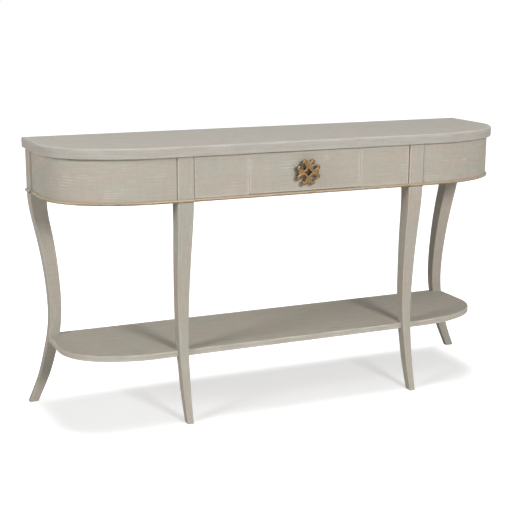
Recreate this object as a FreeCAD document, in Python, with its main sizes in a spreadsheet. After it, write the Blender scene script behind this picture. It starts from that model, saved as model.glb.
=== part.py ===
import FreeCAD, Part
import os

import Sketcher

# Console table with rounded front corners, sabre legs, a low shelf and one drawer.
# X runs along the table, Y from front to back and Z up, from the floor under its middle.

sizes = {
    # Top
    "top_length": 1547.5,
    "top_depth": 405.5,
    "top_height": 838,
    "top_thickness": 31,
    "top_overhang": 12.75,
    "top_back_overhang": 17.5,
    "top_edge_round": 4,
    # Posts and legs
    "post_width": 50,
    "post_depth": 50.5,
    "post_spacing": 773.5,
    "front_post_proud": 3,
    "back_post_proud": 7,
    "front_waist_inset": 32.5,
    "back_waist_inset": 50,
    "toe_flare": 22.5,
    "foot_girth": 28.5,
    "foot_breadth": 19.5,
    "leg_edge_round": 2,
    # Aprons and the tenons that hold them in the posts
    "apron_drop": 133.5,
    "apron_thickness": 20,
    "bow_radius": 393,
    "bow_angle": 31,
    "corner_radius": 194,
    "back_apron_thickness": 18,
    "back_apron_setback": 0.5,
    "tenon_length": 15,
    "tenon_thickness": 10,
    "tenon_shoulder": 12,
    # Half-round bead along the foot of the apron
    "bead_height": 9.5,
    "bead_proud": 5.5,
    # Shelf
    "shelf_height": 215,
    "shelf_thickness": 19,
    "shelf_inset": 36.5,
    "shelf_back_setback": 3,
    "shelf_edge_round": 2,
    # Rails, runners, guides and kickers round the drawer
    "rail_depth": 60,
    "top_rail_thickness": 20,
    "runner_width": 30,
    "guide_thickness": 14,
    "guide_height": 30,
    "block_length": 40,
    # Drawer
    "drawer_width": 374,
    "drawer_gap": 1.2,
    "drawer_edge_round": 1.5,
    "drawer_box_inset": 17,
    "drawer_back_room": 48,
    "drawer_board": 12,
    "drawer_bottom_thickness": 6,
    "drawer_bottom_rise": 8,
    "groove_depth": 5,
    "slide_clearance": 0.3,
    "guide_clearance": 0.5,
    "kicker_clearance": 0.7,
    "stop_width": 60,
    "stop_thickness": 15,
    "stop_lap": 25,
    "stop_clearance": 5,
    # Knob: four open scrolls back to back with a curl at each tip, tied by a short arm on each axis
    "knob_drop": 3,
    "knob_reach": 20.5,
    "knob_thickness": 9,
    "scroll_radius": 16.8,
    "scroll_band": 8.8,
    "scroll_spread": 16.5,
    "scroll_mouth_angle": 58,
    "curl_radius": 8,
    "curl_spread": 15,
    "arm_width": 14,
    "arm_start": 10.5,
    "arm_end": 34,
    "stem_foot_radius": 11,
    "stem_neck_radius": 6,
    "stem_disc_radius": 14.5,
    "stem_plate": 3,
    # Fasteners
    "screw_radius": 2,
    "screw_head_radius": 4,
    "screw_head_depth": 2.5,
    "top_screw_bite": 18,
    "runner_screw_bite": 25,
    "front_screw_bite": 13,
    "knob_screw_bite": 8,
    "dowel_radius": 3,
    "dowel_length": 30,
    "shelf_dowel_radius": 4,
    "shelf_dowel_length": 44,
    "shelf_dowel_cover": 12,
    "fit_room": 0.1,
}

# The sabre leg from the apron to the floor: level over the floor, how much of the waist's inset and of
# the toe's flare it has there, and how far its girth has gone from the foot's to the post's.
leg_shares = (
    (1.0, 0.0, 0.0, 1.0),
    (0.92, 0.09, 0.0, 0.89),
    (0.81, 0.385, 0.0, 0.78),
    (0.69, 0.69, 0.0, 0.63),
    (0.57, 0.9, 0.0, 0.5),
    (0.45, 1.0, 0.0, 0.41),
    (0.34, 0.945, 0.055, 0.34),
    (0.22, 0.715, 0.285, 0.27),
    (0.125, 0.475, 0.525, 0.15),
    (0.0, 0.0, 1.0, 0.0),
)
# How much of a leg's side taper is on its outer or back side; the rest is on the other side.
front_leg_outer_share = 0.5
back_leg_rear_share = 0.07

doc = FreeCAD.newDocument("console_table")
sheet = doc.addObject("Spreadsheet::Sheet", "sizes")
for row, (alias, length) in enumerate(sizes.items(), start=1):
    sheet.set(f"A{row}", alias)
    sheet.set(f"B{row}", str(length))
    sheet.setAlias(f"B{row}", alias)
doc.recompute()

# Heights over the floor
under_top = "(sizes.top_height - sizes.top_thickness)"
apron_low = f"({under_top} - sizes.apron_drop)"
rail_top = f"({apron_low} + sizes.bead_height)"
top_rail_low = f"({under_top} - sizes.top_rail_thickness)"
bottom_rail_middle = f"({apron_low} + sizes.bead_height / 2)"
top_rail_middle = f"({under_top} - sizes.top_rail_thickness / 2)"
shelf_low = "(sizes.shelf_height - sizes.shelf_thickness)"
shelf_middle = "(sizes.shelf_height - sizes.shelf_thickness / 2)"

# Places from front to back; the toes are foremost and the top's back edge is rearmost
half_depth = "((sizes.top_depth - sizes.top_overhang + sizes.front_post_proud + sizes.toe_flare) / 2)"
post_front = f"(sizes.toe_flare - {half_depth})"
post_rear = f"({post_front} + sizes.post_depth)"
apron_front = f"({post_front} + sizes.front_post_proud)"
apron_middle = f"({apron_front} + sizes.apron_thickness / 2)"
apron_rear = f"({apron_front} + sizes.apron_thickness)"
rail_rear = f"({apron_front} + sizes.rail_depth)"
back_post_rear = f"({half_depth} - sizes.top_back_overhang)"
back_post_front = f"({back_post_rear} - sizes.post_depth)"
back_apron_rear = f"({back_post_rear} - sizes.back_apron_setback)"
back_apron_front = f"({back_apron_rear} - sizes.back_apron_thickness)"
back_apron_middle = f"({back_apron_rear} - sizes.back_apron_thickness / 2)"
shelf_front = f"({apron_front} + sizes.shelf_inset)"
shelf_rear = f"({back_post_rear} - sizes.shelf_back_setback)"

# Places from the middle to the right end
apron_end = "(sizes.top_length / 2 - sizes.top_overhang)"
end_face = f"({apron_end} + sizes.back_post_proud)"
back_post_inner = f"({end_face} - sizes.post_width)"
apron_end_middle = f"({apron_end} - sizes.apron_thickness / 2)"
apron_end_inner = f"({apron_end} - sizes.apron_thickness)"
post_inner = "(sizes.post_spacing / 2 - sizes.post_width / 2)"
post_outer = "(sizes.post_spacing / 2 + sizes.post_width / 2)"
shelf_end = f"({apron_end} - sizes.shelf_inset)"

# The apron bends in two arcs, a wide bow in front and a tighter corner at the end; the bend stops at least
# a tenon's length short of both posts
turn_sine = "sin(sizes.bow_angle * 1 deg)"
turn_cosine = "cos(sizes.bow_angle * 1 deg)"
full_across = f"(sizes.bow_radius * {turn_sine} + sizes.corner_radius * (1 - {turn_sine}))"
full_along = f"(sizes.bow_radius * (1 - {turn_cosine}) + sizes.corner_radius * {turn_cosine})"
across_share = f"({apron_end} - {post_outer} - sizes.tenon_length) / {full_across}"
along_share = f"({back_post_front} - {apron_front} - sizes.tenon_length) / {full_along}"
bend_share = f"min(1; {across_share}; {along_share})"
bow = f"(sizes.bow_radius * {bend_share})"
corner = f"(sizes.corner_radius * {bend_share})"
bend_across = f"({apron_end} - {full_across} * {bend_share})"
bend_along = f"({apron_front} + {full_along} * {bend_share})"
bow_centre = (bend_across, f"({apron_front} + {bow})")
corner_centre = (f"({apron_end} - {corner})", bend_along)

# The drawer and what carries it
opening_half = "(sizes.drawer_width / 2)"
front_half = f"({opening_half} - sizes.drawer_gap)"
box_half = f"({opening_half} - sizes.drawer_box_inset)"
box_inner = f"({box_half} - sizes.drawer_board)"
front_rear = f"({apron_rear} - sizes.slide_clearance)"
box_rear = f"({back_apron_front} - sizes.drawer_back_room)"
box_low = f"({rail_top} + sizes.slide_clearance)"
box_high = f"({top_rail_low} - sizes.kicker_clearance)"
bottom_low = f"({box_low} + sizes.drawer_bottom_rise)"
bottom_high = f"({bottom_low} + sizes.drawer_bottom_thickness)"
drawer_middle = f"(({rail_top} + {under_top}) / 2)"
knob_middle = f"({drawer_middle} - sizes.knob_drop)"
guide_inner = f"({box_half} + sizes.guide_clearance)"
guide_outer = f"({guide_inner} + sizes.guide_thickness)"
runner_inner = f"({guide_outer} - sizes.runner_width)"
runner_middle = f"({guide_outer} - sizes.runner_width / 2)"

pieces = []


def size(alias):
    return float(sheet.get(alias))


def value(expression):
    return float(sheet.evalExpression(expression))


def piece(label, thing):
    thing.Label = label
    pieces.append(thing)
    return thing


def place(thing, spot):
    for axis, expression in zip("xyz", spot):
        thing.setExpression(f"Placement.Base.{axis}", expression)


# Solids from primitives
def block(name, low, high):
    box = doc.addObject("Part::Box", name)
    for edge, start, end in zip(("Length", "Width", "Height"), low, high):
        box.setExpression(edge, f"({end}) - ({start})")
    place(box, low)
    return box


turns = {
    "up": FreeCAD.Rotation(),
    "right": FreeCAD.Rotation(FreeCAD.Vector(0, 1, 0), 90),
    "front": FreeCAD.Rotation(FreeCAD.Vector(1, 0, 0), 90),
    "back": FreeCAD.Rotation(FreeCAD.Vector(1, 0, 0), -90),
}


def rod(name, spot, heading, radius, length):
    cylinder = doc.addObject("Part::Cylinder", name)
    cylinder.Placement = FreeCAD.Placement(FreeCAD.Vector(), turns[heading])
    cylinder.setExpression("Radius", radius)
    cylinder.setExpression("Height", length)
    place(cylinder, spot)
    return cylinder


# A countersunk screw with its head at the spot; the hole for it has some room all round
def screw(name, spot, heading, length, room="0"):
    shank = rod(f"{name}_shank", spot, heading, f"sizes.screw_radius + {room}", f"{length} + {room}")
    head = doc.addObject("Part::Cone", f"{name}_head")
    head.Placement = FreeCAD.Placement(FreeCAD.Vector(), turns[heading])
    head.setExpression("Radius1", f"sizes.screw_head_radius + {room}")
    head.setExpression("Radius2", f"sizes.screw_radius + {room}")
    head.setExpression("Height", "sizes.screw_head_depth")
    place(head, spot)
    return fuse(name, [shank, head])


def fuse(name, parts):
    union = doc.addObject("Part::MultiFuse", name)
    union.Shapes = parts
    return union


def group(name, parts):
    compound = doc.addObject("Part::Compound", name)
    compound.Links = parts
    return compound


def cut(name, base, tools):
    difference = doc.addObject("Part::Cut", name)
    difference.Base = base
    difference.Tool = group(f"{name}_tools", tools)
    return difference


def mirror(name, source):
    twin = doc.addObject("Part::Mirroring", name)
    twin.Source = source
    twin.Normal = (1, 0, 0)
    return twin


# The right-hand piece as it is and its mirror image on the left
def pair(label, right):
    piece(f"{label}_right", right)
    piece(f"{label}_left", mirror(f"{label}_left", right))
    return right


def both_sides(name, right):
    return [right, mirror(f"{name}_mirrored", right)]


# Bodies from sketches
def origin_plane(body, role):
    return next(feature for feature in body.Origin.OriginFeatures if feature.Role == role)


# A chain of edges through the points; arcs gives the centre and the turn, 1 or -1, of each round edge
def sketch(body, name, plane, lift, points, arcs=None, closed=True):
    drawing = body.newObject("Sketcher::SketchObject", name)
    drawing.AttachmentSupport = [(origin_plane(body, plane), "")]
    drawing.MapMode = "FlatFace"
    drawing.setExpression("AttachmentOffset.Base.z", lift)
    corners = [FreeCAD.Vector(value(across), value(along), 0) for across, along in points]
    count = len(corners) if closed else len(corners) - 1
    starts = []
    for edge in range(count):
        ends = [corners[edge], corners[(edge + 1) % len(corners)]]
        starts.append(1)
        if edge not in (arcs or {}):
            drawing.addGeometry(Part.LineSegment(*ends))
            continue
        centre_across, centre_along, turn = arcs[edge]
        centre = FreeCAD.Vector(value(centre_across), value(centre_along), 0)
        if turn < 0:
            ends.reverse()
            starts[edge] = 2
        circle = Part.Circle(centre, FreeCAD.Vector(0, 0, 1), centre.distanceToPoint(ends[0]))
        drawing.addGeometry(Part.ArcOfCircle(circle, circle.parameter(ends[0]), circle.parameter(ends[1])))
    finishes = [3 - start for start in starts]
    for edge in range(count if closed else count - 1):
        following = (edge + 1) % count
        drawing.addConstraint(
            Sketcher.Constraint("Coincident", edge, finishes[edge], following, starts[following]))
    spots = [(edge, starts[edge]) for edge in range(count)]
    if not closed:
        spots.append((count - 1, finishes[-1]))
    for (edge, end), point, corner in zip(spots, points, corners):
        hold(drawing, "DistanceX", edge, end, corner.x, point[0])
        hold(drawing, "DistanceY", edge, end, corner.y, point[1])
    for edge, (centre_across, centre_along, turn) in (arcs or {}).items():
        chord = corners[(edge + 1) % len(corners)] - corners[edge]
        if abs(chord.y) >= abs(chord.x):
            hold(drawing, "DistanceX", edge, 3, value(centre_across), centre_across)
        else:
            hold(drawing, "DistanceY", edge, 3, value(centre_along), centre_along)
    doc.recompute()
    return drawing


def hold(drawing, kind, edge, end, distance, expression):
    index = drawing.addConstraint(Sketcher.Constraint(kind, -1, 1, edge, end, distance))
    drawing.renameConstraint(index, f"{kind}_{edge}_{end}")
    drawing.setExpression(f"Constraints.{kind}_{edge}_{end}", expression)


def pad(body, drawing, length):
    feature = body.newObject("PartDesign::Pad", f"{drawing.Name}_pad")
    feature.Profile = drawing
    feature.setExpression("Length", length)
    doc.recompute()
    return feature


def plate(name, low, high, points, arcs=None):
    body = doc.addObject("PartDesign::Body", name)
    pad(body, sketch(body, f"{name}_outline", "XY_Plane", low, points, arcs), f"{high} - {low}")
    return body


def rectangle(left, front, right, rear):
    return [(left, front), (right, front), (right, rear), (left, rear)]


def tenon(body, name, left, front, right, rear):
    low = f"({apron_low} + sizes.tenon_shoulder)"
    drawing = sketch(body, name, "XY_Plane", low, rectangle(left, front, right, rear))
    pad(body, drawing, "sizes.apron_drop - 2 * sizes.tenon_shoulder")


def fillet(body, radius, chosen):
    base = body.Tip
    names = [f"Edge{number}" for number, edge in enumerate(base.Shape.Edges, start=1) if chosen(edge)]
    feature = body.newObject("PartDesign::Fillet", f"{body.Name}_round")
    feature.Base = (base, names)
    feature.setExpression("Radius", radius)
    doc.recompute()


def is_upright(edge):
    return edge.BoundBox.XLength + edge.BoundBox.YLength < edge.BoundBox.ZLength


def is_level(edge):
    return edge.BoundBox.ZLength < edge.BoundBox.XLength + edge.BoundBox.YLength


def is_front_corner(edge):
    return is_upright(edge) and edge.BoundBox.Center.y < 0


def is_on_face(edge):
    return edge.BoundBox.YLength < edge.BoundBox.XLength + edge.BoundBox.ZLength and (
        edge.BoundBox.Center.y < value(apron_middle))


def turned(name, points, height):
    body = doc.addObject("PartDesign::Body", name)
    drawing = sketch(body, f"{name}_outline", "XY_Plane", "0", points)
    feature = body.newObject("PartDesign::Revolution", f"{name}_turning")
    feature.Profile = drawing
    feature.ReferenceAxis = (drawing, ["V_Axis"])
    body.setExpression("Placement.Base.z", height)
    doc.recompute()
    return body


# Start, change and end of the bend, so far outside the apron's face
def bend_points(offset):
    radius = f"({bow} + {offset})"
    return [
        (bend_across, f"({apron_front} - {offset})"),
        (f"({bend_across} + {radius} * {turn_sine})", f"({bow_centre[1]} - {radius} * {turn_cosine})"),
        (f"({apron_end} + {offset})", bend_along),
    ]


# Points and arcs of a board that follows both bends, up to its straight back edge
def board_outline(offset, rear):
    start, change, end = bend_points(offset)
    right = [start, change, end, (end[0], rear)]
    left = [(f"-({across})", along) for across, along in reversed(right)]
    arcs = {
        0: (*bow_centre, 1),
        1: (*corner_centre, 1),
        5: (f"-({corner_centre[0]})", corner_centre[1], 1),
        6: (f"-({bow_centre[0]})", bow_centre[1], 1),
    }
    return right + left, arcs


# Aprons and panels, with the tenons that the posts are cut for
apron = plate(
    "end_apron_right", apron_low, under_top,
    [
        (post_outer, apron_front),
        *bend_points("0"),
        (apron_end, back_post_front),
        (apron_end_inner, back_post_front),
        *reversed(bend_points("(-sizes.apron_thickness)")),
        (post_outer, apron_rear),
    ],
    {1: (*bow_centre, 1), 2: (*corner_centre, 1), 6: (*corner_centre, -1), 7: (*bow_centre, -1)},
)
half_tenon = "sizes.tenon_thickness / 2"
tenon_front = f"{apron_middle} - {half_tenon}"
tenon_rear = f"{apron_middle} + {half_tenon}"
tenon(apron, "end_apron_front_tenon", f"{post_outer} - sizes.tenon_length", tenon_front, post_outer, tenon_rear)
tenon(apron, "end_apron_back_tenon", f"{apron_end_middle} - {half_tenon}", back_post_front,
      f"{apron_end_middle} + {half_tenon}", f"{back_post_front} + sizes.tenon_length")
pair("end_apron", apron)

panel = plate("front_panel_right", rail_top, under_top,
              rectangle(opening_half, apron_front, post_inner, apron_rear))
fillet(panel, "sizes.drawer_edge_round",
       lambda edge: is_front_corner(edge) and edge.BoundBox.Center.y < value(apron_middle)
       and edge.BoundBox.Center.x < value(f"({opening_half} + {post_inner}) / 2"))
tenon(panel, "front_panel_tenon", post_inner, tenon_front, f"{post_inner} + sizes.tenon_length", tenon_rear)
pair("front_panel", panel)

back_apron_board = plate("back_apron_board", apron_low, under_top,
                         rectangle(f"-{back_post_inner}", back_apron_front, back_post_inner, back_apron_rear))
for side in ("-", ""):
    tip = f"{side}({back_post_inner} + sizes.tenon_length)"
    root = f"{side}{back_post_inner}"
    ends = [tip, root] if side else [root, tip]
    tenon(back_apron_board, f"back_apron_tenon{len(back_apron_board.Group)}", ends[0],
          f"{back_apron_middle} - {half_tenon}", ends[1], f"{back_apron_middle} + {half_tenon}")

# Rails across the front, in front of and over the drawer box
bottom_rail_board = block("bottom_rail_board", (f"-{post_inner}", apron_front, apron_low),
                          (post_inner, rail_rear, rail_top))
top_rail_board = block("top_rail_board", (f"-{post_inner}", apron_rear, top_rail_low),
                       (post_inner, rail_rear, under_top))

# Runner, guide and kicker on each side of the drawer
runner_board = block("runner_board", (runner_inner, rail_rear, apron_low),
                     (guide_outer, back_apron_front, rail_top))
kicker_board = block("kicker_board", (runner_inner, rail_rear, top_rail_low),
                     (guide_outer, back_apron_front, under_top))
pair("drawer_guide", block("drawer_guide_right", (guide_inner, rail_rear, rail_top),
                           (guide_outer, back_apron_front, f"{rail_top} + sizes.guide_height")))

# Dowels between the rails and the posts, and between the rails and the runners and kickers
half_dowel = "sizes.dowel_length / 2"
rail_dowel_spots = {
    "bottom_rail_dowel": ((f"{post_inner} - {half_dowel}", f"({apron_rear} + {post_rear}) / 2",
                           bottom_rail_middle), "right"),
    "top_rail_dowel": ((f"{post_inner} - {half_dowel}", f"({apron_rear} + {post_rear}) / 2",
                        top_rail_middle), "right"),
    "runner_dowel": ((runner_middle, f"{rail_rear} - {half_dowel}", bottom_rail_middle), "back"),
    "kicker_dowel": ((runner_middle, f"{rail_rear} - {half_dowel}", top_rail_middle), "back"),
}
rail_dowels = []
dowel_holes = {}
for name, (spot, heading) in rail_dowel_spots.items():
    rail_dowels += both_sides(name, rod(name, spot, heading, "sizes.dowel_radius", "sizes.dowel_length"))
    hole = rod(f"{name}_hole", spot, heading, "sizes.dowel_radius + sizes.fit_room", "sizes.dowel_length")
    dowel_holes[name] = both_sides(f"{name}_hole", hole)
piece("rail_dowels", group("rail_dowels", rail_dowels))

# Screws through the back apron into the runners and kickers
runner_screws = []
runner_screw_holes = []
screw_reach = "sizes.back_apron_thickness + sizes.runner_screw_bite"
for name, level in (("runner_screw", bottom_rail_middle), ("kicker_screw", top_rail_middle)):
    spot = (runner_middle, back_apron_rear, level)
    runner_screws += both_sides(name, screw(name, spot, "front", screw_reach))
    hole = screw(f"{name}_hole", spot, "front", screw_reach, "sizes.fit_room")
    runner_screw_holes += both_sides(f"{name}_hole", hole)
piece("runner_screws", group("runner_screws", runner_screws))

back_apron = piece("back_apron", cut("back_apron", back_apron_board, runner_screw_holes))
bottom_rail = piece("bottom_rail", cut("bottom_rail", bottom_rail_board,
                                       dowel_holes["bottom_rail_dowel"] + dowel_holes["runner_dowel"]))
pair("drawer_runner", cut("drawer_runner_right", runner_board,
                          [dowel_holes["runner_dowel"][0], runner_screw_holes[0]]))
pair("drawer_kicker", cut("drawer_kicker_right", kicker_board,
                          [dowel_holes["kicker_dowel"][0], runner_screw_holes[2]]))

# Blocks behind the aprons, and the screws that hold the top from below
block_middle = f"(({post_outer} + {back_post_inner}) / 2)"
block_depth = "sizes.top_rail_thickness"
back_block = block("back_block",
                   (f"{block_middle} - sizes.block_length / 2", f"{back_apron_front} - {block_depth}", top_rail_low),
                   (f"{block_middle} + sizes.block_length / 2", back_apron_front, under_top))
end_block = block("end_block", (f"{apron_end_inner} - {block_depth}", bend_along, top_rail_low),
                  (apron_end_inner, back_post_front, under_top))
top_screw_spots = {
    "front_top_screw": (f"({opening_half} + {post_inner}) / 2", f"({apron_rear} + {rail_rear}) / 2"),
    "back_top_screw": (block_middle, f"{back_apron_front} - {block_depth} / 2"),
    "end_top_screw": (f"{apron_end_inner} - {block_depth} / 2", f"({bend_along} + {back_post_front}) / 2"),
}
top_screws = []
top_screw_holes = {}
top_screw_reach = "sizes.top_rail_thickness + sizes.top_screw_bite"
for name, (across, along) in top_screw_spots.items():
    spot = (across, along, top_rail_low)
    top_screws += both_sides(name, screw(name, spot, "up", top_screw_reach))
    hole = screw(f"{name}_hole", spot, "up", top_screw_reach, "sizes.fit_room")
    top_screw_holes[name] = both_sides(f"{name}_hole", hole)
piece("top_screws", group("top_screws", top_screws))
pair("top_block_back", cut("top_block_back_right", back_block, top_screw_holes["back_top_screw"][:1]))
pair("top_block_end", cut("top_block_end_right", end_block, top_screw_holes["end_top_screw"][:1]))
piece("top_rail", cut("top_rail", top_rail_board,
                      dowel_holes["top_rail_dowel"] + dowel_holes["kicker_dowel"]
                      + top_screw_holes["front_top_screw"]))

# Top slab with rounded front corners, eased all round
top_slab = plate("top_slab", under_top, "sizes.top_height", *board_outline("sizes.top_overhang", half_depth))
fillet(top_slab, "sizes.top_edge_round", is_level)
piece("top", cut("top", top_slab, [hole for holes in top_screw_holes.values() for hole in holes]))


# A sabre leg that curves outward along its own X, with the outer face of its post at zero
def leg_blank(name, waist_inset, post_girth, post_breadth, far_share):
    post_top = size("top_height") - size("top_thickness")
    post_low = post_top - size("apron_drop")
    outer = []
    inner = []
    for level, inset, flare, girth in leg_shares:
        face = size("toe_flare") * flare - waist_inset * inset
        outer.append(FreeCAD.Vector(face, 0, level * post_low))
        depth = size("foot_girth") + (post_girth - size("foot_girth")) * girth
        inner.append(FreeCAD.Vector(face - depth, 0, level * post_low))
    edges = []
    for points in (outer, inner):
        curve = Part.BSplineCurve()
        curve.interpolate(Points=points, InitialTangent=FreeCAD.Vector(0, 0, -1),
                          FinalTangent=(points[-1] - points[-2]).normalize())
        edges.append(curve.toShape())
    corners = [outer[0], FreeCAD.Vector(0, 0, post_top), FreeCAD.Vector(-post_girth, 0, post_top), inner[0]]
    edges.append(Part.makePolygon(corners))
    edges.append(Part.makeLine(outer[-1], inner[-1]))
    wire = Part.Wire(Part.__sortEdges__([edge for part in edges for edge in part.Edges]))
    profile = Part.Face(wire)
    profile.translate(FreeCAD.Vector(0, -post_breadth / 2, 0))
    curved = profile.extrude(FreeCAD.Vector(0, post_breadth, 0))
    spare = post_breadth - size("foot_breadth")
    far = post_breadth / 2
    near_foot = spare * (1 - far_share) - far
    far_foot = far - spare * far_share
    start = inner[0].x - waist_inset - post_girth
    sides = [(near_foot, 0), (far_foot, 0), (far, post_low), (far, post_top), (-far, post_top), (-far, post_low)]
    outline = [FreeCAD.Vector(start, across, level) for across, level in sides]
    taper = Part.Face(Part.makePolygon(outline + outline[:1]))
    leg = curved.common(taper.extrude(FreeCAD.Vector(size("toe_flare") + post_girth - start, 0, 0)))
    long_edges = [edge for edge in leg.Edges if is_upright(edge)]
    blank = doc.addObject("Part::Feature", name)
    blank.Shape = leg.makeFillet(size("leg_edge_round"), long_edges).Solids[0]
    return blank


back_leg_blank = leg_blank("back_leg_blank", size("back_waist_inset"), size("post_width"),
                           size("post_depth"), back_leg_rear_share)
place(back_leg_blank, (end_face, f"{back_post_rear} - sizes.post_depth / 2", "0"))
front_leg_blank = leg_blank("front_leg_blank", size("front_waist_inset"), size("post_depth"),
                            size("post_width"), front_leg_outer_share)
front_leg_blank.Placement = FreeCAD.Placement(FreeCAD.Vector(), FreeCAD.Rotation(FreeCAD.Vector(0, 0, 1), -90))
place(front_leg_blank, ("sizes.post_spacing / 2", post_front, "0"))
doc.recompute()

# Dowels from each leg into the shelf
shelf_dowel_spots = {
    "front_shelf_dowel": (("sizes.post_spacing / 2", f"{shelf_front} + sizes.shelf_dowel_cover",
                           shelf_middle), "back"),
    "back_shelf_dowel": ((f"{shelf_end} - sizes.shelf_dowel_cover - sizes.shelf_dowel_length",
                          f"{back_post_rear} - sizes.foot_breadth / 2", shelf_middle), "right"),
}
shelf_dowels = []
shelf_dowel_holes = {}
for name, (spot, heading) in shelf_dowel_spots.items():
    shelf_dowels += both_sides(name, rod(name, spot, heading, "sizes.shelf_dowel_radius",
                                         "sizes.shelf_dowel_length"))
    hole = rod(f"{name}_hole", spot, heading, "sizes.shelf_dowel_radius + sizes.fit_room",
               "sizes.shelf_dowel_length")
    shelf_dowel_holes[name] = both_sides(f"{name}_hole", hole)
piece("shelf_dowels", group("shelf_dowels", shelf_dowels))

# Posts cut for the tenons and dowels
pair("back_leg", cut("back_leg_right", back_leg_blank,
                     [back_apron, apron] + shelf_dowel_holes["back_shelf_dowel"][:1]))
pair("front_leg", cut("front_leg_right", front_leg_blank,
                      [apron, panel, dowel_holes["bottom_rail_dowel"][0], dowel_holes["top_rail_dowel"][0]]
                      + shelf_dowel_holes["front_shelf_dowel"][:1]))

# Shelf let in round the four legs
shelf_board = plate("shelf_board", shelf_low, "sizes.shelf_height",
                    *board_outline("(-sizes.shelf_inset)", shelf_rear))
fillet(shelf_board, "sizes.shelf_edge_round", is_level)
shelf_notched = cut("shelf_notched", shelf_board, both_sides("back_leg_notch", back_leg_blank)
                    + both_sides("front_leg_notch", front_leg_blank))
piece("shelf", cut("shelf", shelf_notched, [hole for holes in shelf_dowel_holes.values() for hole in holes]))

# Bead: a bow of the given height and proudness against the face behind it
half_bead = "sizes.bead_height / 2"
bead_middle = f"({apron_low} + {half_bead})"
bead_centre = f"((sizes.bead_proud ^ 2 - ({half_bead}) ^ 2) / (2 * sizes.bead_proud))"


def bead_profile(body, plane, lift, face, outward):
    points = [(face, apron_low), (face, rail_top)]
    turn = 1 if outward == "-" else -1
    centre = (f"{face} {outward} {bead_centre}", bead_middle, turn)
    return sketch(body, f"{body.Name}_profile", plane, lift, points, {1: centre})


def straight_bead(name, plane, face, outward, start, length):
    body = doc.addObject("PartDesign::Body", name)
    pad(body, bead_profile(body, plane, start, face, outward), length)
    return body


piece("bead_front", straight_bead("bead_front", "YZ_Plane", apron_front, "-", f"-{post_inner}", f"2 * {post_inner}"))
pair("bead_front_post", straight_bead("bead_front_post_right", "YZ_Plane", post_front, "-",
                                      post_inner, "sizes.post_width"))
pair("bead_back_post", straight_bead("bead_back_post_right", "XZ_Plane", end_face, "+",
                                     f"-{back_post_rear}", "sizes.post_depth"))
bead_body = doc.addObject("PartDesign::Body", "bead_end_right")
bead_section = bead_profile(bead_body, "YZ_Plane", post_outer, apron_front, "-")
bead_path = sketch(
    bead_body, "bead_end_path", "XY_Plane", bead_middle,
    [(post_outer, apron_front), *bend_points("0"), (apron_end, back_post_front)],
    {1: (*bow_centre, 1), 2: (*corner_centre, 1)},
    closed=False,
)
bead_sweep = bead_body.newObject("PartDesign::AdditivePipe", "bead_end_sweep")
bead_sweep.Profile = bead_section
bead_sweep.Spine = (bead_path, ["Edge1", "Edge2", "Edge3", "Edge4"])
doc.recompute()
pair("bead_end", bead_body)

# Drawer: a plain box behind the show front
show_front = plate("show_front", f"({rail_top} + sizes.drawer_gap)", f"({under_top} - sizes.drawer_gap)",
                   rectangle(f"-{front_half}", apron_front, front_half, front_rear))
fillet(show_front, "sizes.drawer_edge_round", is_on_face)
drawer_bottom = piece("drawer_bottom", block(
    "drawer_bottom",
    (f"-({box_inner} + sizes.groove_depth)", f"{front_rear} + sizes.drawer_board - sizes.groove_depth", bottom_low),
    (f"{box_inner} + sizes.groove_depth", box_rear, bottom_high)))
side_board = block("side_board", (box_inner, front_rear, box_low), (box_half, box_rear, box_high))
pair("drawer_side", cut("drawer_side_right", side_board, [drawer_bottom]))
piece("drawer_back", block("drawer_back", (f"-{box_inner}", f"{box_rear} - sizes.drawer_board", bottom_high),
                           (box_inner, box_rear, box_high)))
stop_rear = f"{box_rear} - sizes.drawer_board"
piece("drawer_stop", block(
    "drawer_stop",
    ("-sizes.stop_width / 2", f"{stop_rear} - sizes.stop_thickness", f"{box_high} - sizes.stop_lap"),
    ("sizes.stop_width / 2", stop_rear, f"{under_top} - sizes.stop_clearance")))

# Screws from inside the box into the show front
box_front_rear = f"({front_rear} + sizes.drawer_board)"
front_screw_spot = (f"{box_inner} / 2", box_front_rear, drawer_middle)
front_screw_reach = "sizes.drawer_board + sizes.front_screw_bite"
piece("drawer_front_screws", group("drawer_front_screws", both_sides(
    "front_screw", screw("front_screw", front_screw_spot, "front", front_screw_reach))))
front_screw_holes = both_sides("front_screw_hole", screw(
    "front_screw_hole", front_screw_spot, "front", front_screw_reach, "sizes.fit_room"))

# Knob stem, turned: a foot on the drawer, a neck, and the disc behind the scrolls
disc_front = f"({apron_front} - sizes.knob_reach + sizes.knob_thickness)"
disc_rear = f"({disc_front} + sizes.stem_plate)"
foot_front = f"({apron_front} - sizes.stem_plate)"
stem_turning = turned("stem_turning", [
    ("0", disc_front),
    ("sizes.stem_disc_radius", disc_front),
    ("sizes.stem_disc_radius", disc_rear),
    ("sizes.stem_neck_radius", disc_rear),
    ("sizes.stem_neck_radius", foot_front),
    ("sizes.stem_foot_radius", foot_front),
    ("sizes.stem_foot_radius", apron_front),
    ("0", apron_front),
], knob_middle)
screw_tip = f"({apron_front} - sizes.knob_screw_bite)"
head_rear = f"({box_front_rear} + sizes.screw_head_depth)"
piece("knob_screw", turned("knob_screw", [
    ("0", screw_tip),
    ("sizes.screw_radius", screw_tip),
    ("sizes.screw_radius", box_front_rear),
    ("sizes.screw_head_radius", box_front_rear),
    ("sizes.screw_head_radius", head_rear),
    ("0", head_rear),
], knob_middle))
knob_screw_hole = rod("knob_screw_hole", ("0", box_front_rear, knob_middle), "front",
                      "sizes.screw_radius + sizes.fit_room",
                      f"{box_front_rear} - {screw_tip} + sizes.fit_room")
piece("knob_stem", cut("knob_stem", stem_turning, [knob_screw_hole]))
piece("drawer_front", cut("drawer_front", show_front, front_screw_holes + [knob_screw_hole]))
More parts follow.
